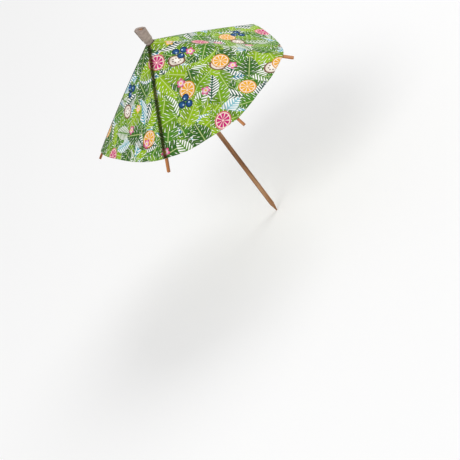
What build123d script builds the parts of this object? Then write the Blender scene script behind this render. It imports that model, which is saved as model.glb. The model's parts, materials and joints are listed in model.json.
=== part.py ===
"""Cocktail umbrella pick: a paper parasol on hinged wooden ribs that folds down along a wooden pick.

Millimetres, Z up along the pick. The origin is where the round shank meets its sharpened point.
"""

import os
from math import cos, radians, sin

from build123d import *

# Pick
POINT_LENGTH = 4.0
POINT_FLAT_RADIUS = 0.25
SHANK_RADIUS = 1.0
GRIP_LENGTH = 30.0
PICK_TOP_RADIUS = 0.94
TOTAL_LENGTH = 100.0
FINIAL_ABOVE_APEX = 7.0
PICK_TOP_RECESS = 0.5
APEX_HEIGHT = TOTAL_LENGTH - POINT_LENGTH - FINIAL_ABOVE_APEX

# Canopy and ribs. A rib's paper line leaves the apex at APEX_ANGLE from the pick and bows by RIB_TURN along its slant.
# EDGE_TRIMS is how far the hand-cut edge falls short of PAPER_SLANT on each rib.
RIB_GAPS = (78.35, 41.03, 46.06, 59.09, 45.16, 45.16, 45.15)
FIRST_RIB_AZIMUTH = -199.48
MID_ANGLES = (55.5, 54.5, 56.6, 53.3, 56.0, 56.0, 56.0)
MID_SHARES = (0.89, 0.965, 0.985, 0.96, 0.98, 0.98, 0.98)
APEX_ANGLE = 59.085
RIB_TURN = 4.3
PAPER_START_RADIUS = 2.15
LINE_START_RADIUS = 1.65
PAPER_SLANT = 51.76
PAPER_THICKNESS = 0.2
PLEAT_GAP = 0.06
EDGE_TRIMS = (-0.55, 1.8, -1.2, 0.0, 2.25, 0.0, 0.0)
RIB_OVERHANGS = (3.7, 5.35, 3.45, 4.1, 0.2, 4.1, 4.1)
RIB_WIDTH = 1.0
RIB_THICKNESS = 0.9
RIB_DROP = 0.36

# Hub at the top and runner below it
HINGE_RADIUS = 2.8
SLOT_CLEARANCE = 0.1
SLOT_OVERCUT = 1.0
NOSE_CLEARANCE = 0.2
HUB_RADIUS = 3.3
HUB_HEIGHT = 1.3
HUB_TOP_BELOW_HINGE = 0.2
THREAD_RADIUS = 0.12
THREAD_CLEARANCE = 0.13
STRETCHER_REACH = 22.0
STRETCHER_THICKNESS = 0.6
STRETCHER_WIDTH = 1.0
STRETCHER_CLEARANCE = 0.1
COLLAR_HEIGHT = 1.3
SLEEVE_LENGTH = 9.0
SLEEVE_BORE_RADIUS = 1.15
SLEEVE_TURNS = 2.0
RING_RADIUS = 2.0
RING_HEIGHT = 1.5
RING_CLEARANCE = 0.05
SEAT_GAP = 0.05

# Rolled paper
ROLL_THICKNESS = 0.2
ROLL_GAP = 0.06
FINIAL_BORE_RADIUS = 1.03
FINIAL_TURNS = 3.5
FINIAL_FOOT = 0.3
GLUE_GAP = 0.02

PARTS = "parts"
RIB_COUNT = len(RIB_GAPS)
rib_bend = radians(RIB_TURN) / PAPER_SLANT


def paper_line(slant, normal):
    """(radius, height) of the point this far along a rib's paper line and this far above it."""
    start = radians(APEX_ANGLE)
    here = start - rib_bend * slant
    r = LINE_START_RADIUS + (cos(here) - cos(start)) / rib_bend + normal * cos(here)
    z = APEX_HEIGHT - (sin(start) - sin(here)) / rib_bend + normal * sin(here)
    return r, z


def slant_at(radius, normal):
    """How far along the paper line its parallel at this normal offset reaches a radius."""
    low, high = -PAPER_SLANT, PAPER_SLANT
    for _ in range(60):
        middle = (low + high) / 2
        if paper_line(middle, normal)[0] < radius:
            low = middle
        else:
            high = middle
    return low


def azimuth(k):
    """Azimuth of rib k in degrees."""
    return FIRST_RIB_AZIMUTH + sum(RIB_GAPS[:k])


def in_plane(r, z):
    """A point of the radial plane through X."""
    return Vector(r, 0, z)


def radial_plate(outline, width):
    """A plate of the closed outline, centred on the radial plane through X."""
    face = Face(outline)
    return Pos(0, width / 2, 0) * Solid.extrude(face, Vector(0, -width, 0))


def rolled(bore, turns, length, base):
    """A wound paper strip whose spiral is half circles about two centres."""
    pitch = ROLL_THICKNESS + ROLL_GAP
    inner, outer = [], []
    for i in range(round(turns * 2)):
        side = 1 if i % 2 == 0 else -1
        cx = pitch / 4 * side
        for radius, arcs in ((bore + i * pitch / 2, inner), (bore + i * pitch / 2 + ROLL_THICKNESS, outer)):
            first = Vector(cx - side * radius, 0, base)
            crown = Vector(cx, side * radius, base)
            last = Vector(cx + side * radius, 0, base)
            arcs.append((first, crown, last))
    edges = [Edge.make_three_point_arc(*arc) for arc in inner + outer]
    edges.append(Edge.make_line(inner[0][0], outer[0][0]))
    edges.append(Edge.make_line(inner[-1][2], outer[-1][2]))
    return Solid.extrude(Face(Wire(edges)), Vector(0, 0, length))


def roll_reach(bore, turns):
    """How far from the pick's axis a roll's last turn reaches."""
    pitch = ROLL_THICKNESS + ROLL_GAP
    return bore + (turns - 0.25) * pitch + ROLL_THICKNESS


def slotted_disc(bore, bottom, height, slot_width):
    """A disc on the pick with one open slot for each rib."""
    disc = Pos(0, 0, bottom + height / 2) * (Cylinder(HUB_RADIUS, height) - Cylinder(bore, height))
    slot_bottom = HINGE_RADIUS - RIB_THICKNESS / 2 - NOSE_CLEARANCE
    reach = HUB_RADIUS - slot_bottom + SLOT_OVERCUT
    for k in range(RIB_COUNT):
        slot = Pos(slot_bottom + reach / 2, 0, bottom + height / 2) * Box(reach, slot_width, height + SLOT_OVERCUT)
        disc -= Rot(0, 0, azimuth(k)) * slot
    return disc


# Heights and lengths that follow from the values above
rib_centre = -(RIB_DROP + RIB_THICKNESS / 2)
hinge_slant = slant_at(HINGE_RADIUS, rib_centre)
hinge_height = paper_line(hinge_slant, rib_centre)[1]
pivot_normal = rib_centre - RIB_THICKNESS / 2 - STRETCHER_CLEARANCE - STRETCHER_THICKNESS / 2
pivot_r, pivot_z = paper_line(hinge_slant + STRETCHER_REACH, pivot_normal)
link = ((pivot_r - HINGE_RADIUS) ** 2 + (pivot_z - hinge_height) ** 2) ** 0.5
runner_height = 2 * pivot_z - hinge_height
sleeve_top = runner_height + COLLAR_HEIGHT / 2
sleeve_bottom = sleeve_top - SLEEVE_LENGTH
ring_top = sleeve_bottom - SEAT_GAP


def pick_radius(z):
    """Radius of the pick above its grip."""
    top = TOTAL_LENGTH - POINT_LENGTH - PICK_TOP_RECESS
    return SHANK_RADIUS + (PICK_TOP_RADIUS - SHANK_RADIUS) * (z - GRIP_LENGTH) / (top - GRIP_LENGTH)


def make_pick():
    top = TOTAL_LENGTH - POINT_LENGTH - PICK_TOP_RECESS
    outline = Polyline(
        (0, 0, -POINT_LENGTH),
        (POINT_FLAT_RADIUS, 0, -POINT_LENGTH),
        (SHANK_RADIUS, 0, 0),
        (SHANK_RADIUS, 0, GRIP_LENGTH),
        (PICK_TOP_RADIUS, 0, top),
        (0, 0, top),
        close=True,
    )
    return revolve(Face(Wire(outline.edges())), Axis.Z)


def make_rib(k):
    tip = PAPER_SLANT - EDGE_TRIMS[k] + RIB_OVERHANGS[k]
    middle = (hinge_slant + tip) / 2
    half = RIB_THICKNESS / 2
    top = [in_plane(*paper_line(s, rib_centre + half)) for s in (hinge_slant, middle, tip)]
    under = [in_plane(*paper_line(s, rib_centre - half)) for s in (hinge_slant, middle, tip)]
    nose = in_plane(*paper_line(hinge_slant - half, rib_centre))
    outline = Wire(
        [
            Edge.make_three_point_arc(*top),
            Edge.make_line(top[2], under[2]),
            Edge.make_three_point_arc(under[2], under[1], under[0]),
            Edge.make_three_point_arc(under[0], nose, top[0]),
        ]
    )
    hole = Cylinder(THREAD_RADIUS + THREAD_CLEARANCE, RIB_WIDTH + SLOT_OVERCUT)
    return radial_plate(outline, RIB_WIDTH) - Pos(HINGE_RADIUS, 0, hinge_height) * Rot(90, 0, 0) * hole


def make_stretcher():
    half = STRETCHER_THICKNESS / 2
    outer = Vector(pivot_r, 0, pivot_z)
    inner = Vector(HINGE_RADIUS, 0, runner_height)
    along = (outer - inner).normalized()
    across = Vector(-along.Z, 0, along.X)
    corners = [outer + across * half, outer - across * half, inner - across * half, inner + across * half]
    outline = Wire(
        [
            Edge.make_three_point_arc(corners[0], outer + along * half, corners[1]),
            Edge.make_line(corners[1], corners[2]),
            Edge.make_three_point_arc(corners[2], inner - along * half, corners[3]),
            Edge.make_line(corners[3], corners[0]),
        ]
    )
    return radial_plate(outline, STRETCHER_WIDTH)


def make_half_panel(k, side):
    """Half a canopy panel, from rib k in the plane of X to the panel's middle pleat on that side."""
    panel = k if side > 0 else k - 1
    half_gap = radians(RIB_GAPS[panel]) / 2
    rise = Vector(0, 0, PAPER_THICKNESS)
    first = slant_at(PAPER_START_RADIUS, 0)
    last = PAPER_SLANT - EDGE_TRIMS[k]
    slants = (first, (first + last) / 2, last)
    rib_edge = [in_plane(*paper_line(s, 0)) - rise / 2 for s in slants]
    apex_r, apex_z = paper_line(first, 0)
    edge_r, edge_z = paper_line(PAPER_SLANT, 0)
    reach = (edge_r**2 + (APEX_HEIGHT - edge_z) ** 2) ** 0.5 * MID_SHARES[panel]
    angle = radians(MID_ANGLES[panel])
    ends = ((apex_r, apex_z), (reach * sin(angle), APEX_HEIGHT - reach * cos(angle)))
    turn = Vector(cos(half_gap), side * sin(half_gap), 0)
    inward = Vector(sin(half_gap), -side * cos(half_gap), 0) * (PLEAT_GAP / 2)
    pleat_edge = [turn * r + inward + Vector(0, 0, z) - rise / 2 for r, z in ends]
    sheet = Face.make_surface_from_curves(
        Edge.make_three_point_arc(*rib_edge), Edge.make_line(*pleat_edge)
    )
    return Solid.extrude(sheet, rise)


def make_ring():
    bore = SHANK_RADIUS + RING_CLEARANCE
    ring = Cylinder(RING_RADIUS, RING_HEIGHT) - Cylinder(bore, RING_HEIGHT)
    return Pos(0, 0, ring_top - RING_HEIGHT / 2) * ring


def save(shape, name):
    shape.label = name
    export_step(shape, os.path.join(PARTS, name + ".step"))


os.makedirs(PARTS, exist_ok=True)
save(make_pick(), "pick")
finial_base = APEX_HEIGHT - FINIAL_FOOT
finial_length = TOTAL_LENGTH - POINT_LENGTH - finial_base
save(rolled(FINIAL_BORE_RADIUS, FINIAL_TURNS, finial_length, finial_base), "finial_roll")
hub_top = hinge_height - HUB_TOP_BELOW_HINGE
hub_bottom = hub_top - HUB_HEIGHT
save(
    slotted_disc(pick_radius(hub_bottom) + GLUE_GAP, hub_bottom, HUB_HEIGHT, RIB_WIDTH + 2 * SLOT_CLEARANCE),
    "rib_hub",
)
save(Pos(0, 0, hinge_height) * Torus(HINGE_RADIUS, THREAD_RADIUS), "hub_thread")
for k in range(RIB_COUNT):
    turn = Rot(0, 0, azimuth(k))
    save(turn * make_rib(k), f"rib_{k + 1}")
    save(turn * make_stretcher(), f"stretcher_{k + 1}")
    save(turn * make_half_panel(k, 1), f"panel_{k + 1}_after")
    save(turn * make_half_panel(k, -1), f"panel_{k + 1}_before")
save(rolled(SLEEVE_BORE_RADIUS, SLEEVE_TURNS, SLEEVE_LENGTH, sleeve_bottom), "runner_sleeve")
sleeve_reach = roll_reach(SLEEVE_BORE_RADIUS, SLEEVE_TURNS)
save(
    slotted_disc(
        sleeve_reach + GLUE_GAP,
        runner_height - COLLAR_HEIGHT / 2,
        COLLAR_HEIGHT,
        STRETCHER_WIDTH + 2 * SLOT_CLEARANCE,
    ),
    "runner_collar",
)
save(make_ring(), "retaining_ring")
print(
    "hinge", HINGE_RADIUS, round(hinge_height, 4),
    "pivot", round(pivot_r, 4), round(pivot_z, 4),
    "link", round(link, 4), "runner", round(runner_height, 4),
    "sleeve", round(sleeve_bottom, 4), "ring", round(ring_top - RING_HEIGHT, 4),
    "rim", [round(x, 3) for x in paper_line(PAPER_SLANT, 0)],
    "sleeve reach", round(sleeve_reach, 3),
)
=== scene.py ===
"""Looks of the cocktail umbrella pick: printed paper canopy, wooden ribs and pick, paper rolls, studio."""

import json
from math import acos, atan2, cos, hypot, pi, radians, sin, sqrt

import bpy
import numpy as np
from mathutils import Matrix, Vector, noise


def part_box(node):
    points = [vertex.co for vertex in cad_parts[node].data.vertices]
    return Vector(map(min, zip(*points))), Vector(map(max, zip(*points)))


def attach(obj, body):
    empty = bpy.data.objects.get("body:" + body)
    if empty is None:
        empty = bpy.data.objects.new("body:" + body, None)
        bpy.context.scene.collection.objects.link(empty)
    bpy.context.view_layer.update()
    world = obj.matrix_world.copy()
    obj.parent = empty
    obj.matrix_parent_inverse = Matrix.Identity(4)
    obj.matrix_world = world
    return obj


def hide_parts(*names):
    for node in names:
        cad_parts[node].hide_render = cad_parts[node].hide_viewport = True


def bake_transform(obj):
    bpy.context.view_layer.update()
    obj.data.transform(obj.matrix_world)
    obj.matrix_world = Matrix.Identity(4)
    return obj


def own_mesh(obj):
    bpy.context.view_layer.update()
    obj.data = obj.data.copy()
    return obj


def linear(r, g, b):
    """An sRGB colour of 0 to 255 as linear RGBA."""
    out = []
    for c in (r / 255, g / 255, b / 255):
        out.append(c / 12.92 if c <= 0.04045 else ((c + 0.055) / 1.055) ** 2.4)
    return (*out, 1.0)


MM = 0.001
UP = Vector((0.0, 0.0, 1.0))

# Numbers of the mix node's colour sockets
MIX_A = 6
MIX_B = 7
MIX_RESULT = 2

# Canopy and roll values shared with the CAD, in millimetres, degrees and shares
MID_ANGLES = (55.5, 54.5, 56.6, 53.3, 56.0, 56.0, 56.0)
MID_SHARES = (0.89, 0.965, 0.985, 0.96, 0.98, 0.98, 0.98)
EDGE_TRIMS = (-0.55, 1.8, -1.2, 0.0, 2.25, 0.0, 0.0)
APEX_HEIGHT = 89.0
APEX_ANGLE = 59.085
RIB_TURN = 4.3
LINE_START_RADIUS = 1.65
PAPER_SLANT = 51.76
FINIAL_BORE = 1.03
FINIAL_TURNS = 3.5
SLEEVE_BORE = 1.15
SLEEVE_TURNS = 2.0
ROLL_PITCH = 0.26

# Paper of the canopy: thickness, and rounding over the ribs, in millimetres
PAPER = 0.13
RIB_ROUND = 0.6

# Shares of the way from apex to edge: where cap, crown and panels meet, where neighbouring half panels
# meet when closed, and the point that a half panel narrows towards
CAP_START = 0.009
CAP_END = 0.046
CROWN_END = 0.15
MATCH_SHARE = 0.27
ANCHOR_SHARE = 0.5

# Points along and across the pieces of the sheet, and how much closer the columns stand near a rib
CAP_ROWS = 6
CROWN_ROWS = 12
PANEL_ROWS = 73
CAP_COLUMNS = 6
PANEL_COLUMNS = 27
COLUMN_POWER = 1.5

# Waves of the sheet: two noises per millimetre with their heights in millimetres, the second's shift,
# how soon they rise beside a rib, and the shares of their lift that go outwards and up
LONG_WAVE = 0.09
LONG_HEIGHT = 0.4
SHORT_WAVE = 0.24
SHORT_HEIGHT = 0.16
SHORT_SHIFT = (9, 4, 2)
WAVE_RISE = 2.5
LIFT_OUT = 0.55
LIFT_UP = 0.83

# Painted shade along the ribs, as dark lines where each rib shows through the thin paper and shades it:
# strength and half width in millimetres at each rib, and the share of the width that is darkest
RIB_PAINTED_SHADE_STRENGTHS = (0.95, 1.0, 0.25, 0.25, 0.6, 0.6, 0.6)
RIB_PAINTED_SHADE_WIDTHS = (1.65, 1.45, 0.9, 0.9, 1.0, 1.0, 1.0)
PAINTED_SHADE_CORE = 0.25
PAINTED_SHADE_BROWN = linear(92, 88, 46)

# Wound paper: half its thickness and its middle past the bore, in millimetres, and its points round a
# turn and up the strip
WOUND_HALF = 0.085
WOUND_MIDDLE = 0.1
TURN_STEPS = 40
WOUND_LEVELS = 9

# Wobble of the wound paper in millimetres, with its noise per radian and up the strip, and its seed
WOBBLE = 0.03
WOBBLE_TURN = 1.3
WOBBLE_RISE = 4.0
WOBBLE_SEED = 1.0

# Cut edges of the wound paper: noises per radian and their seeds, shares of the raggedness, and the
# azimuth of the high side in radians
EDGE_WAVE = 0.9
WAVE_SEED = 3.0
EDGE_FRAY = 3.1
FRAY_SEED = 7.0
FRAY_SHARE = 0.35
FOOT_RAGGED = 0.4
INNER_RAGGED = 0.35
SLOPE_AZIMUTH = 2.8

# Print: the shift of a layer's cells with its seed, the seed's step to a second draw, how far motifs
# stray in their cells, a divisor's least value, and how much the paper's fibres show
CELL_SHIFT = (0.37, 0.61)
SECOND_DRAW = 50.5
LEAF_STRAY = 0.12
FLOWER_STRAY = 0.5
CITRUS_STRAY = 0.35
FRUIT_STRAY = 0.4
TINY = 0.0001
PRINT_FIBRE = 0.04
PAPER_WHITE = linear(248, 248, 243)
PAPER_SHADE = linear(120, 112, 92)
UNDER_WHITE = linear(240, 239, 232)

# Fronds, in shares of half their length, and leaflets in shares of their spacing
FROND_WIDTH = 0.5
FROND_WHITE = 0.92
LEAFLETS = 4.6
LEAFLET_SWEEP = 0.8
LEAFLET_SHARE = 0.62
LEAFLET_TAPER = 0.34
STEM_HALF = 0.035
STEM_END = 0.97
FROND_GREENS = [(0.0, linear(16, 84, 52)), (0.45, linear(84, 136, 32)), (0.75, linear(10, 72, 66))]
FROND_BLUES = [(0.0, linear(84, 166, 186)), (0.55, linear(36, 124, 146)), (0.8, linear(132, 190, 202))]

# Paddle leaves, in shares of half their length, with slits, holes and veins in shares of their rows
# and of the way out to the leaf's edge
LEAF_WIDTH = 0.7
LEAF_TAPER = 0.16
LEAF_ROWS = 2.8
ROW_SWEEP = 0.55
SLIT_START = 0.4
SLIT_GROWTH = 0.44
SLIT_LOSS = 0.2
HOLE_ROW = 0.55
HOLE_ROW_HALF = 0.08
HOLE_OUT_HALF = 0.1
VEIN_ROW = 0.6
VEIN_HALF = 0.04
VEIN_END = 0.93
VEIN_STRENGTH = 0.45
MIDRIB_HALF = 0.03
MIDRIB_STRENGTH = 0.8
SHADE_START = -0.1
SHADE_END = 0.3
SHADE_STRENGTH = 0.3
LEAF_GREENS = [
    (0.0, linear(146, 186, 16)),
    (0.28, linear(74, 132, 34)),
    (0.57, linear(114, 162, 14)),
    (0.78, linear(54, 104, 34)),
]
LEAF_SHADE = linear(30, 72, 24)
VEIN_PALE = linear(206, 222, 150)

# Flowers, in shares of their radius
PETALS = 5
PETAL_MEAN = 0.55
PETAL_SWING = 0.45
PETAL_WAVE = 2.4
BLUSH_START = 0.25
BLUSH_END = 0.85
HEART_RADIUS = 0.24
PETAL_COLOURS = [(0.0, linear(214, 56, 128)), (0.62, linear(246, 190, 60))]
PETAL_PALE = linear(252, 226, 236)
HEART_YELLOW = linear(250, 196, 40)

# Citrus slices, in shares of their radius, and the sine of the angle at which a wall starts
SEGMENTS = 9
WALL_SINE = 0.26
CORE_RADIUS = 0.1
PITH_START = 0.78
RIND_START = 0.88
FLESH_COLOURS = [(0.0, linear(206, 46, 122)), (0.5, linear(240, 172, 44))]
RIND_COLOURS = [(0.0, linear(222, 92, 120)), (0.5, linear(226, 150, 30))]
PITH = linear(250, 232, 214)

# Berries, in shares of their cluster's radius
BERRIES = 3
BERRY_AWAY = 0.52
BERRY_RADIUS = 0.44
BERRY_CORE = 0.1
GLINT_PLACE = (-0.12, 0.14)
GLINT_RADIUS = 0.1
BERRY_LIGHT = linear(38, 92, 150)
BERRY_DARK = linear(14, 40, 84)
GLINT = linear(190, 214, 236)

# Seed pods, in shares of their radius
POD_SEEDS = 7
POD_SQUASH = 0.82
SEED_AWAY = 0.42
SEED_RADIUS = 0.1
CREAM_START = 0.2
CREAM_END = 0.78
POD_RIND_START = 0.8
POD_PALE = linear(252, 246, 236)
POD_CREAM = linear(236, 222, 208)
SEED_BROWN = linear(120, 84, 66)
POD_RIND = linear(124, 88, 70)

# The range that most of a noise lies in, and the roughness of each kind of surface over it
NOISE_RANGE = (0.3, 0.7)
PRINT_ROUGH = (0.68, 0.82)
WOOD_ROUGH = (0.66, 0.46)
PAPER_ROUGH = (0.78, 0.92)
PLASTIC_ROUGH = (0.3, 0.42)

# Wood: size of the grain across and along it, in metres, the blotches' share, and the range of streaks
GRAIN = (0.0011, 0.0011, 0.022)
BLOTCH_SHARE = 0.25
STREAK_RANGE = (0.34, 0.68)

# Plain paper: shares of fibre, clouds and bands in its tone, and of bands in its relief
FIBRE_SHARE = 0.5
CLOUD_SHARE = 0.45
BAND_SHARE = 0.05
BAND_RELIEF = 0.1

# Studio, in metres and watts. The floor glows more far away, where it meets the white world
FLOOR_HALF = 6.0
FLOOR_GREY = (0.9, 0.9, 0.9, 1.0)
FLOOR_WHITE = 0.05
FAR_WHITE = 0.44
FAR_START = 0.15
FAR_END = 2.0
WHITE = (1.0, 1.0, 1.0, 1.0)
WORLD_LIGHT = 0.6
LAMP_AIM = (0, 0, 0.06)
KEY_PLACE = (-0.45, -0.7, 0.9)
KEY_SIZE = 0.6
KEY_POWER = 4.4
FILL_PLACE = (0.7, 0.35, 0.75)
FILL_SIZE = 0.7
FILL_POWER = 4.0

# Camera fitted to the photograph: place, lens and sensor in millimetres, nearest distance in metres
CAMERA_PLACE = (-10.402, -449.132, 233.106)
CAMERA_RIGHT = (0.790140, -0.265397, -0.552488)
CAMERA_UP = (0.612566, 0.372835, 0.696963)
CAMERA_BACK = (0.021015, -0.889134, 0.457165)
LENS = 92.942
SENSOR_WIDTH = 36.0
CLIP_START = 0.01

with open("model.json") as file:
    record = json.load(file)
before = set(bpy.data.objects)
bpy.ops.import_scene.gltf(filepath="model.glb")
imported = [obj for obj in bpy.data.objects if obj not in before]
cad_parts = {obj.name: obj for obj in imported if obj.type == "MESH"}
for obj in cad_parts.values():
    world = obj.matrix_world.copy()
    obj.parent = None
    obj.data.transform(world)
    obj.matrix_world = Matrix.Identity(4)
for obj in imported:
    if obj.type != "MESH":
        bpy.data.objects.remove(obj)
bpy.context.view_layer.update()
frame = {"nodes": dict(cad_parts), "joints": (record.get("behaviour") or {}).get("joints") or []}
scene = bpy.context.scene
joints = {j["name"]: j for j in frame["joints"]}
rib_count = len(MID_ANGLES)
hinges = [Vector(joints[f"rib_{k + 1}_fold"]["pos_m"]) / MM for k in range(rib_count)]
azimuths = [atan2(h.y, h.x) for h in hinges]
gaps = [(azimuths[(k + 1) % rib_count] - azimuths[k]) % (2 * pi) for k in range(rib_count)]


class Val:
    """A shader value that takes arithmetic. A comparison gives one where it holds, else nought."""

    def __init__(self, graph, socket):
        self.graph = graph
        self.socket = socket

    def __add__(self, other):
        return self.graph.math("ADD", self, other)

    def __sub__(self, other):
        return self.graph.math("SUBTRACT", self, other)

    def __mul__(self, other):
        return self.graph.math("MULTIPLY", self, other)

    def __truediv__(self, other):
        return self.graph.math("DIVIDE", self, other)

    def __radd__(self, other):
        return self.graph.math("ADD", other, self)

    def __rsub__(self, other):
        return self.graph.math("SUBTRACT", other, self)

    def __rmul__(self, other):
        return self.graph.math("MULTIPLY", other, self)

    def __abs__(self):
        return self.graph.math("ABSOLUTE", self)

    def __lt__(self, other):
        return self.graph.math("LESS_THAN", self, other)

    def __gt__(self, other):
        return self.graph.math("GREATER_THAN", self, other)


class Graph:
    """Builds one node material."""

    def __init__(self, name):
        self.material = bpy.data.materials.new(name)
        self.material.use_nodes = True
        self.tree = self.material.node_tree
        self.shader = self.tree.nodes["Principled BSDF"]

    def node(self, kind, **settings):
        """A new node with some of its properties set."""
        made = self.tree.nodes.new(kind)
        for key, value in settings.items():
            setattr(made, key, value)
        return made

    def put(self, socket, value):
        """Links a shader value to a socket, or sets the socket to a number or colour."""
        if isinstance(value, Val):
            self.tree.links.new(value.socket, socket)
        else:
            socket.default_value = value

    def math(self, operation, *values):
        """The result of one maths node."""
        made = self.node("ShaderNodeMath", operation=operation)
        for socket, value in zip(made.inputs, values):
            self.put(socket, value)
        return Val(self, made.outputs[0])

    def length(self, a, b):
        """Length of a flat vector."""
        return self.math("SQRT", a * a + b * b)

    def split(self, vector):
        """The three parts of a vector or colour."""
        made = self.node("ShaderNodeSeparateXYZ")
        self.put(made.inputs[0], vector)
        return [Val(self, s) for s in made.outputs]

    def join(self, x, y, z):
        """A vector of three parts."""
        made = self.node("ShaderNodeCombineXYZ")
        for socket, value in zip(made.inputs, (x, y, z)):
            self.put(socket, value)
        return Val(self, made.outputs[0])

    def hashed(self, x, y, z):
        """Three random values for each cell."""
        made = self.node("ShaderNodeTexWhiteNoise", noise_dimensions="3D")
        self.put(made.inputs["Vector"], self.join(x, y, z))
        return self.split(Val(self, made.outputs["Color"]))

    def noise(self, vector, scale, detail, rough):
        """Smooth noise, about 0.5 on the whole."""
        made = self.node("ShaderNodeTexNoise")
        self.put(made.inputs["Vector"], vector)
        made.inputs["Scale"].default_value = scale
        made.inputs["Detail"].default_value = detail
        made.inputs["Roughness"].default_value = rough
        return Val(self, made.outputs["Fac"])

    def ramp(self, value, stops, interpolation="LINEAR"):
        """A colour that a value from 0 to 1 picks from places and colours."""
        made = self.node("ShaderNodeValToRGB")
        made.color_ramp.interpolation = interpolation
        points = made.color_ramp.elements
        while len(points) < len(stops):
            points.new(0.5)
        for point, (place, colour) in zip(points, stops):
            point.position = place
            point.color = colour
        self.put(made.inputs[0], value)
        return Val(self, made.outputs["Color"])

    def choose(self, value, stops):
        """Like ramp, with hard steps between the colours."""
        return self.ramp(value, stops, "CONSTANT")

    def mix(self, factor, a, b, blend="MIX"):
        """Colour a with this much of colour b over it."""
        made = self.node("ShaderNodeMix", data_type="RGBA", blend_type=blend)
        self.put(made.inputs[0], factor)
        self.put(made.inputs[MIX_A], a)
        self.put(made.inputs[MIX_B], b)
        return Val(self, made.outputs[MIX_RESULT])

    def ease(self, value, low, high, to_low=0.0, to_high=1.0):
        """A smooth step from to_low to to_high while the value goes from low to high."""
        made = self.node("ShaderNodeMapRange", interpolation_type="SMOOTHSTEP")
        for socket, v in zip(made.inputs, (value, low, high, to_low, to_high)):
            self.put(socket, v)
        return Val(self, made.outputs[0])

    def surface(self, colour, roughness, specular):
        """Sets the material's colour, roughness and specular level."""
        self.put(self.shader.inputs["Base Color"], colour)
        self.put(self.shader.inputs["Roughness"], roughness)
        self.put(self.shader.inputs["Specular IOR Level"], specular)

    def bump(self, height, strength, distance):
        """Fine relief in the shading, with its distance in metres."""
        made = self.node("ShaderNodeBump")
        made.inputs["Strength"].default_value = strength
        made.inputs["Distance"].default_value = distance
        self.put(made.inputs["Height"], height)
        self.put(self.shader.inputs["Normal"], Val(self, made.outputs[0]))

    def place(self):
        """Object coordinates."""
        return Val(self, self.node("ShaderNodeTexCoord").outputs["Object"])

    def stored(self, name):
        """The three parts of a vector that the mesh stores at its points."""
        attribute = self.node("ShaderNodeAttribute", attribute_name=name)
        return self.split(Val(self, attribute.outputs["Vector"]))


def cell(g, x, y, size, turn, seed, stray):
    """Splits the sheet into turned square cells, each with one motif that strays and turns at random.

    Returns coordinates from -1 to 1 in the motif's own directions, and two random values of the cell.
    """
    c, s = cos(turn), sin(turn)
    u = (x * c + y * s) / size + seed * CELL_SHIFT[0]
    v = (y * c - x * s) / size + seed * CELL_SHIFT[1]
    column, row = g.math("FLOOR", u), g.math("FLOOR", v)
    aside, ahead, heading = g.hashed(column, row, seed)
    shade, chance, _ = g.hashed(column, row, seed + SECOND_DRAW)
    a = u - column - 0.5 - (aside - 0.5) * stray
    b = v - row - 0.5 - (ahead - 0.5) * stray
    angle = heading * (2 * pi)
    ca, sa = g.math("COSINE", angle), g.math("SINE", angle)
    return (a * ca + b * sa) * 2, (b * ca - a * sa) * 2, shade, chance


def fold(g, a, b, count):
    """Polar radius, and the angle within one of count equal sectors, from minus to plus half a sector."""
    sector = g.math("ARCTAN2", b, a) * (count / (2 * pi))
    return g.length(a, b), (g.math("FRACT", sector) - 0.5) * (2 * pi / count)


def frond_layer(g, base, x, y, size, turn, seed, colours, length, density):
    """Feathered fronds on white, whose leaflets sweep towards the tip."""
    a, b, shade, chance = cell(g, x, y, size, turn, seed, LEAF_STRAY)
    u, v = a / length, abs(b / length)
    out = v / g.math("MAXIMUM", (1 - u * u) * FROND_WIDTH, TINY)
    stripe = abs(g.math("FRACT", (u - v * LEAFLET_SWEEP) * LEAFLETS) - 0.5) * 2
    leaflet = (out < 1.0) * (stripe < (LEAFLET_SHARE - out * LEAFLET_TAPER))
    stem = (v < STEM_HALF) * (abs(u) < STEM_END)
    shown = chance < density
    white = g.mix((out < FROND_WHITE) * shown, base, PAPER_WHITE)
    return g.mix(g.math("MAXIMUM", leaflet, stem) * shown, white, g.choose(shade, colours))


def leaf_layer(g, base, x, y, size, turn, seed, colours, length, density):
    """Broad paddle leaves with a pale midrib, side veins and a few slits and holes."""
    a, b, shade, chance = cell(g, x, y, size, turn, seed, LEAF_STRAY)
    u, v = a / length, b / length
    side = abs(v)
    out = side / g.math("MAXIMUM", (1 - u * u) * (LEAF_WIDTH - u * LEAF_TAPER), TINY)
    row = g.math("FRACT", (u - side * ROW_SWEEP) * LEAF_ROWS)
    slit = (row < (out * SLIT_GROWTH - SLIT_LOSS)) * (out > SLIT_START)
    hole = (abs(row - HOLE_ROW) < HOLE_ROW_HALF) * (abs(out - SLIT_START) < HOLE_OUT_HALF)
    vein = (abs(row - VEIN_ROW) < VEIN_HALF) * (out < VEIN_END)
    pale = g.math("MAXIMUM", vein * VEIN_STRENGTH, (side < MIDRIB_HALF) * MIDRIB_STRENGTH)
    shadow = g.ease(v, SHADE_START, SHADE_END, 0.0, SHADE_STRENGTH)
    shaded = g.mix(shadow, g.choose(shade, colours), LEAF_SHADE)
    veined = g.mix(pale, shaded, VEIN_PALE)
    leaf = g.mix(g.math("MAXIMUM", slit, hole), veined, PAPER_WHITE)
    return g.mix((out < 1.0) * (chance < density), base, leaf)


def flower_layer(g, base, x, y, size, turn, seed, radius, density):
    """Small five-petalled flowers."""
    a, b, shade, chance = cell(g, x, y, size, turn, seed, FLOWER_STRAY)
    r, angle = fold(g, a, b, PETALS)
    petal = (PETAL_MEAN + PETAL_SWING * g.math("COSINE", angle * PETAL_WAVE)) * radius
    blush = g.ease(r / radius, BLUSH_START, BLUSH_END)
    flower = g.mix(blush, PETAL_PALE, g.choose(shade, PETAL_COLOURS))
    flower = g.mix(r < radius * HEART_RADIUS, flower, HEART_YELLOW)
    return g.mix((r < petal) * (chance < density), base, flower)


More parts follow.
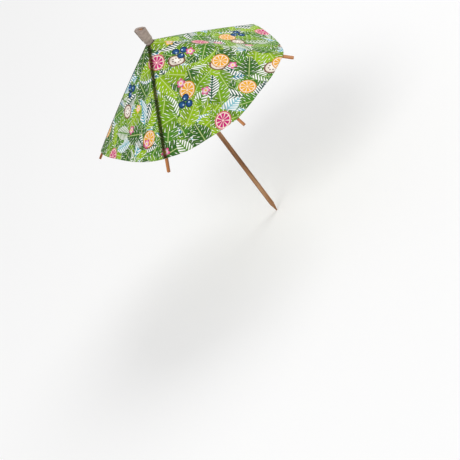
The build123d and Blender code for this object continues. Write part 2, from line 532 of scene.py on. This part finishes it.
def citrus_layer(g, base, x, y, size, turn, seed, radius, density):
    """Round citrus slices, some golden and some pink."""
    a, b, shade, chance = cell(g, x, y, size, turn, seed, CITRUS_STRAY)
    r, angle = fold(g, a / radius, b / radius, SEGMENTS)
    wall = abs(g.math("SINE", angle)) > WALL_SINE
    gap = g.math("MAXIMUM", wall, r < CORE_RADIUS)
    fruit = g.mix(g.math("MAXIMUM", gap, r > PITH_START), g.choose(shade, FLESH_COLOURS), PITH)
    fruit = g.mix(r > RIND_START, fruit, g.choose(shade, RIND_COLOURS))
    return g.mix((r < 1.0) * (chance < density), base, fruit)


def berry_layer(g, base, x, y, size, turn, seed, radius, density):
    """Navy berries in threes."""
    a, b, _, chance = cell(g, x, y, size, turn, seed, FRUIT_STRAY)
    r, angle = fold(g, a / radius, b / radius, BERRIES)
    p = r * g.math("COSINE", angle) - BERRY_AWAY
    q = r * g.math("SINE", angle)
    away = g.length(p, q)
    glint = g.length(p - GLINT_PLACE[0], q - GLINT_PLACE[1]) < GLINT_RADIUS
    berry = g.mix(g.ease(away, BERRY_CORE, BERRY_RADIUS), BERRY_LIGHT, BERRY_DARK)
    berry = g.mix(glint, berry, GLINT)
    return g.mix((away < BERRY_RADIUS) * (chance < density), base, berry)


def pod_layer(g, base, x, y, size, turn, seed, radius, density):
    """Halved seed pods: a brown rind, a cream wall and seeds in a ring."""
    a, b, _, chance = cell(g, x, y, size, turn, seed, FRUIT_STRAY)
    r, angle = fold(g, a / radius, b / (radius * POD_SQUASH), POD_SEEDS)
    p = r * g.math("COSINE", angle) - SEED_AWAY
    q = r * g.math("SINE", angle)
    pod = g.mix(g.ease(r, CREAM_START, CREAM_END), POD_PALE, POD_CREAM)
    pod = g.mix(g.length(p, q) < SEED_RADIUS, pod, SEED_BROWN)
    pod = g.mix(r > POD_RIND_START, pod, POD_RIND)
    return g.mix((r < 1.0) * (chance < density), base, pod)


# The print's layers, lowest first: motif, cell size in millimetres, turn and seed, then colours for
# leaves and fronds, and last the motif's length or radius in its cell and its density
LAYERS = (
    (leaf_layer, 5.2, 0.45, 71.0, LEAF_GREENS, 2.2, 1.0),
    (leaf_layer, 8.6, 0.7, 5.0, LEAF_GREENS, 1.0, 1.0),
    (leaf_layer, 9.4, 0.1, 9.0, LEAF_GREENS, 1.0, 1.0),
    (frond_layer, 11.6, 0.35, 3.0, FROND_BLUES, 0.98, 0.9),
    (leaf_layer, 10.8, 0.2, 12.0, LEAF_GREENS, 0.98, 0.95),
    (frond_layer, 12.0, 1.05, 8.0, FROND_GREENS, 0.96, 0.8),
    (leaf_layer, 11.4, 0.95, 21.0, LEAF_GREENS, 0.96, 0.85),
    (frond_layer, 12.6, 0.8, 17.0, FROND_BLUES, 0.94, 0.5),
    (leaf_layer, 12.0, 1.3, 31.0, LEAF_GREENS, 0.92, 0.75),
    (frond_layer, 12.8, 0.55, 26.0, FROND_GREENS, 0.92, 0.55),
    (leaf_layer, 12.8, 0.6, 61.0, LEAF_GREENS, 0.84, 0.5),
    (pod_layer, 20.0, 0.7, 36.0, 0.34, 0.62),
    (citrus_layer, 19.0, 0.15, 41.0, 0.36, 0.62),
    (berry_layer, 23.0, 1.15, 46.0, 0.3, 0.55),
    (flower_layer, 14.0, 0.45, 51.0, 0.27, 0.5),
)


def printed_paper(name, fade):
    """White paper with a generic leaf and fruit print. An underside's print is faded by this share.

    The upper side, with no fade, has painted shade in dark lines along the ribs, where they show through.
    """
    g = Graph(name)
    x, y, near = g.stored("flat_mm")
    ink = PAPER_WHITE
    for motif, *facts in LAYERS:
        ink = motif(g, ink, x, y, *facts)
    fibre = g.noise(g.join(x, y, 0.0), scale=3.2, detail=4.0, rough=0.6)
    ink = g.mix(g.ease(fibre, *NOISE_RANGE, 0.0, PRINT_FIBRE), ink, PAPER_SHADE)
    if fade:
        ink = g.mix(fade, ink, UNDER_WHITE)
    else:
        # Painted shade: browner and darker near each rib, where the rib shows through the paper and shades
        # it
        strength, width, _ = g.stored("painted_rib_shade")
        painted_rib_dark = g.ease(abs(near) / width, PAINTED_SHADE_CORE, 1.0, 1.0, 0.0) * strength
        ink = g.mix(painted_rib_dark, ink, PAINTED_SHADE_BROWN, "MULTIPLY")
    g.surface(ink, g.ease(fibre, *NOISE_RANGE, *PRINT_ROUGH), specular=0.12)
    g.bump(fibre, strength=0.12, distance=0.00005)
    return g.material


def wood(name, deep, pale, light, direction):
    """Fine straight grain that runs along a direction of the object."""
    g = Graph(name)
    place = g.place()
    mapping = g.node("ShaderNodeMapping", vector_type="TEXTURE")
    g.put(mapping.inputs["Vector"], place)
    mapping.inputs["Rotation"].default_value = direction.to_track_quat("Z", "X").to_euler()
    mapping.inputs["Scale"].default_value = GRAIN
    grain = g.noise(Val(g, mapping.outputs[0]), scale=1.0, detail=5.0, rough=0.62)
    blotch = g.noise(place, scale=55.0, detail=2.0, rough=0.5)
    streak = g.ease(grain * (1 - BLOTCH_SHARE) + blotch * BLOTCH_SHARE, *STREAK_RANGE)
    colour = g.ramp(streak, [(0.0, deep), (0.55, pale), (1.0, light)])
    g.surface(colour, g.ease(grain, *NOISE_RANGE, *WOOD_ROUGH), specular=0.35)
    g.bump(grain, strength=0.35, distance=0.00008)
    return g.material


def plain_paper(name, pale, deep, lines):
    """Rough unprinted paper, card or thread, with faint bands across the pick."""
    g = Graph(name)
    place = g.place()
    fibre = g.noise(place, scale=900.0, detail=4.0, rough=0.65)
    cloud = g.noise(place, scale=220.0, detail=2.0, rough=0.5)
    wave = g.node("ShaderNodeTexWave", bands_direction="Z")
    g.put(wave.inputs["Vector"], place)
    wave.inputs["Scale"].default_value = lines
    wave.inputs["Distortion"].default_value = 4.0
    wave.inputs["Detail"].default_value = 2.0
    band = Val(g, wave.outputs["Fac"])
    tone = g.ease(fibre * FIBRE_SHARE + cloud * CLOUD_SHARE + band * BAND_SHARE, *NOISE_RANGE)
    colour = g.ramp(tone, [(0.0, deep), (1.0, pale)])
    g.surface(colour, g.ease(fibre, *NOISE_RANGE, *PAPER_ROUGH), specular=0.2)
    g.bump(fibre + band * BAND_RELIEF, strength=0.35, distance=0.00008)
    return g.material


def plastic(name, pale, deep):
    """Smooth plastic with a faint cloudiness."""
    g = Graph(name)
    cloud = g.noise(g.place(), scale=400.0, detail=3.0, rough=0.5)
    colour = g.ramp(g.ease(cloud, *NOISE_RANGE), [(0.0, deep), (1.0, pale)])
    g.surface(colour, g.ease(cloud, *NOISE_RANGE, *PLASTIC_ROUGH), specular=0.5)
    g.bump(cloud, strength=0.1, distance=0.00003)
    return g.material


def rib_point(slant):
    """Radius and height this far along a rib's paper line."""
    start = radians(APEX_ANGLE)
    bend = radians(RIB_TURN) / PAPER_SLANT
    here = start - bend * slant
    r = LINE_START_RADIUS + (cos(here) - cos(start)) / bend
    z = APEX_HEIGHT - (sin(start) - sin(here)) / bend
    return np.array((r, z))


def reach_of(point):
    """Distance of a radius and height from the apex."""
    return hypot(point[0], APEX_HEIGHT - point[1])


rim = rib_point(PAPER_SLANT)
rim_reach = reach_of(rim)
rib_angle = atan2(rim[0], APEX_HEIGHT - rim[1])


def panel_of(k, side):
    """The panel that lies on one side of rib k."""
    return k if side > 0 else (k - 1) % rib_count


def half_span(panel):
    """Flat angle of half a panel, so that the print keeps its scale."""
    return 0.5 * acos(cos(rib_angle) ** 2 + sin(rib_angle) ** 2 * cos(gaps[panel]))


def rounded(distance):
    """A distance from the rib's middle, eased so that the paper wraps over the rib."""
    return sqrt(distance**2 + RIB_ROUND**2) - RIB_ROUND


def waves_at(spot):
    """Height of the paper's slight waves at a point of the sheet."""
    long_wave = noise.noise(spot * LONG_WAVE) * LONG_HEIGHT
    return long_wave + noise.noise(spot * SHORT_WAVE + Vector(SHORT_SHIFT)) * SHORT_HEIGHT


def sheet_point(k, side, t, along):
    """A point of the sheet beside rib k, and its distance from the rib's plane.

    t goes from the rib to the pleat, along from the apex to the edge, both from 0 to 1.
    """
    panel = panel_of(k, side)
    half = gaps[panel] / 2
    on_rib = rib_point(along * (PAPER_SLANT - EDGE_TRIMS[k]))
    reach = rim_reach * MID_SHARES[panel]
    angle = radians(MID_ANGLES[panel])
    top = rib_point(0.0)
    end = np.array((reach * sin(angle), APEX_HEIGHT - reach * cos(angle)))
    on_pleat = top + (end - top) * along
    width = on_rib[0] * half
    weight = sin(pi / 2 * rounded(t * width) / rounded(width))
    r, z = on_rib + (on_pleat - on_rib) * weight
    turn = azimuths[k] + side * half * t
    spot = Vector((r * cos(turn), r * sin(turn), z))
    lift = waves_at(spot) * along * min(1.0, t * WAVE_RISE)
    outward = Vector((cos(turn) * LIFT_OUT, sin(turn) * LIFT_OUT, LIFT_UP))
    return spot + outward * lift, side * r * sin(half * t)


def sheet_grid(columns, rows):
    """Points of a stretch of the sheet.

    Each also gets its place in the flat print and its distance from the rib's plane.
    """
    shape = (len(rows), len(columns), 3)
    points, flat = np.zeros(shape), np.zeros(shape)
    for j, (k, side, t) in enumerate(columns):
        around = sum(2 * half_span(p) for p in range(k)) + side * t * half_span(panel_of(k, side))
        for i, along in enumerate(rows):
            spot, lateral = sheet_point(k, side, t, along)
            points[i, j] = spot
            reach = hypot(spot.x, spot.y, APEX_HEIGHT - spot.z)
            flat[i, j] = (reach * cos(around), reach * sin(around), lateral)
    return points, flat


def sheet_normals(points, columns):
    """Unit normals of the sheet. On a rib or a pleat they lie in its plane, so that neighbours meet."""
    normals = np.cross(np.gradient(points, axis=0), np.gradient(points, axis=1))
    for j, (k, side, t) in enumerate(columns):
        if t in (0, 1):
            turn = azimuths[k] + side * gaps[panel_of(k, side)] / 2 * t
            across = np.array((-sin(turn), cos(turn), 0.0))
            normals[:, j] -= np.outer(normals[:, j] @ across, across)
    return normals / np.linalg.norm(normals, axis=2, keepdims=True)


def sheet_faces(rows, columns):
    """Quads and material slots of a grid's upper face, lower face and four edges."""
    count = rows * columns
    for i in range(rows - 1):
        for j in range(columns - 1):
            a = i * columns + j
            b, c, d = a + columns, a + columns + 1, a + 1
            yield (a, b, c, d), 0
            yield (a + count, d + count, c + count, b + count), 1
    for j in range(columns - 1):
        a, b = j, j + 1
        yield (a, b, b + count, a + count), 1
        a, b = count - columns + j, count - columns + j + 1
        yield (b, a, a + count, b + count), 1
    for i in range(rows - 1):
        a, b = i * columns, (i + 1) * columns
        yield (b, a, a + count, b + count), 1
        a, b = a + columns - 1, b + columns - 1
        yield (a, b, b + count, a + count), 1


def store(mesh, name, vectors):
    """Stores a vector at each point of a mesh, for its material."""
    attribute = mesh.attributes.new(name, "FLOAT_VECTOR", "POINT")
    attribute.data.foreach_set("vector", vectors.ravel())


def add_object(name, mesh, *materials):
    """Puts a mesh with its materials into the scene."""
    made = bpy.data.objects.new(name, mesh)
    scene.collection.objects.link(made)
    for material in materials:
        mesh.materials.append(material)
    return made


def paper_mesh(name, columns, rows):
    """A stretch of the sheet with two faces. Each column is a rib, a side and a share of the half panel."""
    points, flat = sheet_grid(columns, rows)
    half = sheet_normals(points, columns) * PAPER / 2
    vertices = np.concatenate([points + half, points - half]).reshape(-1, 3) * MM
    faces, slots = map(list, zip(*sheet_faces(len(rows), len(columns))))
    grid_faces = 2 * (len(rows) - 1) * (len(columns) - 1)
    mesh = bpy.data.meshes.new(name)
    mesh.from_pydata(vertices.tolist(), [], faces)
    mesh.polygons.foreach_set("material_index", slots)
    mesh.polygons.foreach_set("use_smooth", [n < grid_faces for n in range(len(faces))])
    store(mesh, "flat_mm", np.tile(flat.reshape(-1, 3), (2, 1)))
    # Each point keeps its rib's painted shade: its strength and half width
    lines = [(RIB_PAINTED_SHADE_STRENGTHS[k], RIB_PAINTED_SHADE_WIDTHS[k], 0.0) for k, _, _ in columns]
    store(mesh, "painted_rib_shade", np.tile(lines, (2 * len(rows), 1)))
    mesh.update()
    return add_object(name, mesh, PRINT_TOP, PRINT_UNDER)


def half_columns(k, side, count):
    """Columns of a half panel in the order of their azimuths, closer together near the rib."""
    shares = [(n / (count - 1)) ** COLUMN_POWER for n in range(count)]
    return [(k, side, t) for t in shares[::side]]


def narrowing(k, side):
    """Axis, anchor and share by which a half panel would narrow towards its rib.

    When closed, it would then meet its neighbour at the match share.
    """
    joint = joints[f"rib_{k + 1}_fold"]
    on_rib, on_pleat = (sheet_point(k, side, t, MATCH_SHARE)[0] for t in (0, 1))
    tip = sheet_point(k, side, 0, 1.0)[0]
    along = (tip - sheet_point(k, side, 0, CAP_END)[0]).normalized()
    across = on_pleat - on_rib
    across -= along * across.dot(along)
    width, axis = across.length, across.normalized()
    closed = Matrix.Rotation(radians(joint["range_deg"][1]), 3, Vector(joint["axis"]))
    turn = azimuths[k] + side * gaps[panel_of(k, side)] / 2
    pleat_plane = Vector((-sin(turn), cos(turn), 0.0))
    rib_closed = hinges[k] + closed @ (on_rib - hinges[k])
    room = -rib_closed.dot(pleat_plane) / (closed @ axis).dot(pleat_plane)
    anchor = sheet_point(k, side, 0, ANCHOR_SHARE)[0] * MM
    return axis, anchor, room / width


def wound_faces(steps):
    """Quads of a wound strip: both sides, foot, top and the two ends."""
    levels = WOUND_LEVELS
    stride = 2 * levels
    faces = []
    for i in range(steps):
        a, b = i * stride, (i + 1) * stride
        for n in range(levels - 1):
            faces.append((a + n, a + n + 1, b + n + 1, b + n))
            faces.append((b + levels + n, b + levels + n + 1, a + levels + n + 1, a + levels + n))
        faces.append((a, b, b + levels, a + levels))
        faces.append((a + levels - 1, a + stride - 1, b + stride - 1, b + levels - 1))
    for start, turn in ((0, 1), (steps * stride, -1)):
        for n in range(levels - 1):
            quad = (start + n, start + levels + n, start + levels + n + 1, start + n + 1)
            faces.append(quad[::turn])
    return faces


def winding(name, node, bore, turns, material, ragged, lift, flare, slope):
    """A wound paper strip in place of a node. Its last turn's foot is lifted, its top flares and slopes."""
    low_corner, high_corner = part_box(node)
    base, top = low_corner.z / MM, high_corner.z / MM
    steps = round(turns * TURN_STEPS)
    vertices = []
    for i in range(steps + 1):
        angle = 2 * pi * turns * i / steps
        share = i / steps
        wave = noise.noise(Vector((angle * EDGE_WAVE, base, WAVE_SEED)))
        fray = noise.noise(Vector((angle * EDGE_FRAY, base, FRAY_SEED)))
        low = base + ragged * FOOT_RAGGED * (0.5 + wave) + lift * max(0.0, share * 2 - 1)
        depth = ragged * (INNER_RAGGED + (1 - INNER_RAGGED) * share)
        high = top - depth * (0.5 + 0.5 * wave + FRAY_SHARE * fray) + slope * cos(angle - SLOPE_AZIMUTH)
        for half in (-WOUND_HALF, WOUND_HALF):
            for up in np.linspace(0.0, 1.0, WOUND_LEVELS):
                wobble = WOBBLE * noise.noise(Vector((angle * WOBBLE_TURN, up * WOBBLE_RISE, WOBBLE_SEED)))
                middle = bore + WOUND_MIDDLE + ROLL_PITCH * turns * share + flare * share * up**2
                r = (middle + half + wobble) * MM
                vertices.append((r * cos(angle), r * sin(angle), (low + (high - low) * up) * MM))
    faces = wound_faces(steps)
    mesh = bpy.data.meshes.new(name)
    mesh.from_pydata(vertices, [], faces)
    mesh.polygons.foreach_set("use_smooth", [True] * len(faces))
    mesh.update()
    made = add_object(name, mesh, material)
    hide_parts(node)
    return made


def dress(node, material):
    """Gives a CAD node its material."""
    mesh = frame["nodes"][node].data
    mesh.materials.clear()
    mesh.materials.append(material)


PRINT_TOP = printed_paper("print_top", fade=0.0)
PRINT_UNDER = printed_paper("print_under", fade=0.5)
PICK_WOOD = wood("pick_wood", linear(120, 78, 46), linear(166, 118, 78), linear(188, 146, 106), UP)
HUB_WOOD = wood("hub_wood", linear(132, 92, 58), linear(178, 134, 92), linear(200, 160, 120), UP)
RIB_COLOURS = (linear(132, 76, 36), linear(186, 120, 66), linear(206, 150, 98))
FINIAL_PAPER = plain_paper("finial_paper", linear(190, 174, 164), linear(150, 135, 126), lines=260.0)
SLEEVE_PAPER = plain_paper("sleeve_paper", linear(228, 222, 208), linear(196, 188, 172), lines=260.0)
THREAD = plain_paper("thread", linear(232, 228, 216), linear(198, 192, 176), lines=700.0)
CARD = plain_paper("card", linear(206, 184, 150), linear(170, 144, 108), lines=90.0)
RING_PLASTIC = plastic("ring_plastic", linear(240, 240, 238), linear(222, 222, 220))


def add_cap():
    """The part of the sheet round the finial's foot, which stays with the pick."""
    columns = []
    for k in range(rib_count):
        columns += half_columns(k, -1, CAP_COLUMNS) + half_columns(k, 1, CAP_COLUMNS)[1:]
    cap = paper_mesh("canopy_cap", columns, np.linspace(CAP_START, CAP_END, CAP_ROWS))
    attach(cap, "pick")
    return cap


def add_crown(k, side, name):
    """The sheet between the cap and a half panel."""
    columns = half_columns(k, side, PANEL_COLUMNS)
    crown = paper_mesh(f"crown_{name}", columns, np.linspace(CAP_END, CROWN_END, CROWN_ROWS))
    bend = [sheet_point(k, side, 0, along)[0] * MM for along in (CAP_END, CROWN_END)]
    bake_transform(crown)
    return crown


def add_half_panel(k, side, name):
    """A half panel on its rib, in place of its CAD panel."""
    rib = f"rib_{k + 1}"
    columns = half_columns(k, side, PANEL_COLUMNS)
    paper = paper_mesh(f"canopy_{name}", columns, np.linspace(CROWN_END, 1.0, PANEL_ROWS))
    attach(paper, rib)
    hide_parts(f"panel_{name}")
    panel = panel_of(k, side)
    axis, anchor, share = narrowing(k, side)
    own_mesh(paper)


def add_canopy():
    """The sheet: a cap, and a crown and a half panel on each side of each rib.
    """
    cap = add_cap()
    for k in range(rib_count):
        for side, word in ((-1, "before"), (1, "after")):
            name = f"{k + 1}_{word}"
            crown = add_crown(k, side, name)
            add_half_panel(k, side, name)


def add_rolls():
    """The wound paper of the finial and of the runner's sleeve."""
    finial = winding(
        "finial",
        "finial_roll",
        FINIAL_BORE,
        FINIAL_TURNS,
        FINIAL_PAPER,
        ragged=0.7,
        lift=2.2,
        flare=0.28,
        slope=0.7,
    )
    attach(finial, "pick")
    sleeve = winding(
        "sleeve",
        "runner_sleeve",
        SLEEVE_BORE,
        SLEEVE_TURNS,
        SLEEVE_PAPER,
        ragged=0.15,
        lift=0.0,
        flare=0.0,
        slope=0.0,
    )
    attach(sleeve, "runner")


def dress_nodes():
    """Gives each CAD node that stays visible its material, with the ribs' grain along them."""
    dress("pick", PICK_WOOD)
    dress("rib_hub", HUB_WOOD)
    dress("hub_thread", THREAD)
    dress("runner_collar", HUB_WOOD)
    dress("retaining_ring", RING_PLASTIC)
    for k in range(rib_count):
        along_rib = sheet_point(k, 1, 0, 1.0)[0] - sheet_point(k, 1, 0, 0.0)[0]
        dress(f"rib_{k + 1}", wood(f"rib_wood_{k + 1}", *RIB_COLOURS, along_rib))
        dress(f"stretcher_{k + 1}", CARD)


def area_lamp(name, place, size, power):
    """A round soft lamp that points at the part."""
    data = bpy.data.lights.new(name, "AREA")
    data.shape = "DISK"
    data.size = size
    data.energy = power
    lamp = bpy.data.objects.new(name, data)
    lamp.location = Vector(place)
    lamp.rotation_euler = (Vector(LAMP_AIM) - Vector(place)).to_track_quat("-Z", "Y").to_euler()
    scene.collection.objects.link(lamp)


def seen(tree):
    """One where the eye, a reflection or glass sees the surface, nought where light only bounces off it."""
    path = tree.nodes.new("ShaderNodeLightPath")
    total = path.outputs["Is Camera Ray"]
    for name in ("Is Glossy Ray", "Is Transmission Ray"):
        most = tree.nodes.new("ShaderNodeMath")
        most.operation = "MAXIMUM"
        tree.links.new(total, most.inputs[0])
        tree.links.new(path.outputs[name], most.inputs[1])
        total = most.outputs[0]
    return total


def make_floor():
    """A white floor at the level of the pick's point."""
    mesh = bpy.data.meshes.new("floor")
    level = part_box("pick")[0].z
    corners = [(x * FLOOR_HALF, y * FLOOR_HALF, level) for x, y in ((-1, -1), (1, -1), (1, 1), (-1, 1))]
    mesh.from_pydata(corners, [], [(0, 1, 2, 3)])
    g = Graph("floor")
    g.surface(FLOOR_GREY, roughness=0.9, specular=0.0)
    x, y, _ = g.split(g.place())
    white = g.ease(g.length(x, y), FAR_START, FAR_END, FLOOR_WHITE, FAR_WHITE)
    g.put(g.shader.inputs["Emission Color"], WHITE)
    g.put(g.shader.inputs["Emission Strength"], Val(g, seen(g.tree)) * white)
    add_object("floor", mesh, g.material)


def make_world():
    """A white world that lights the part less brightly than it looks."""
    world = bpy.data.worlds.new("studio")
    world.use_nodes = True
    tree = world.node_tree
    background = tree.nodes["Background"]
    background.inputs["Color"].default_value = WHITE
    level = tree.nodes.new("ShaderNodeMapRange")
    tree.links.new(seen(tree), level.inputs["Value"])
    level.inputs["To Min"].default_value = WORLD_LIGHT
    level.inputs["To Max"].default_value = 1.0
    tree.links.new(level.outputs[0], background.inputs["Strength"])
    scene.world = world


def make_camera():
    """The camera that was fitted to the photograph."""
    data = bpy.data.cameras.new("camera")
    data.lens = LENS
    data.sensor_width = SENSOR_WIDTH
    data.clip_start = CLIP_START
    camera = bpy.data.objects.new("camera", data)
    rotation = Matrix((CAMERA_RIGHT, CAMERA_UP, CAMERA_BACK)).transposed()
    camera.matrix_world = Matrix.Translation(Vector(CAMERA_PLACE) * MM) @ rotation.to_4x4()
    scene.collection.objects.link(camera)
    scene.camera = camera


add_canopy()
add_rolls()
dress_nodes()
make_floor()
make_world()
area_lamp("key", KEY_PLACE, KEY_SIZE, KEY_POWER)
area_lamp("fill", FILL_PLACE, FILL_SIZE, FILL_POWER)
make_camera()
scene.view_settings.view_transform = "Standard"
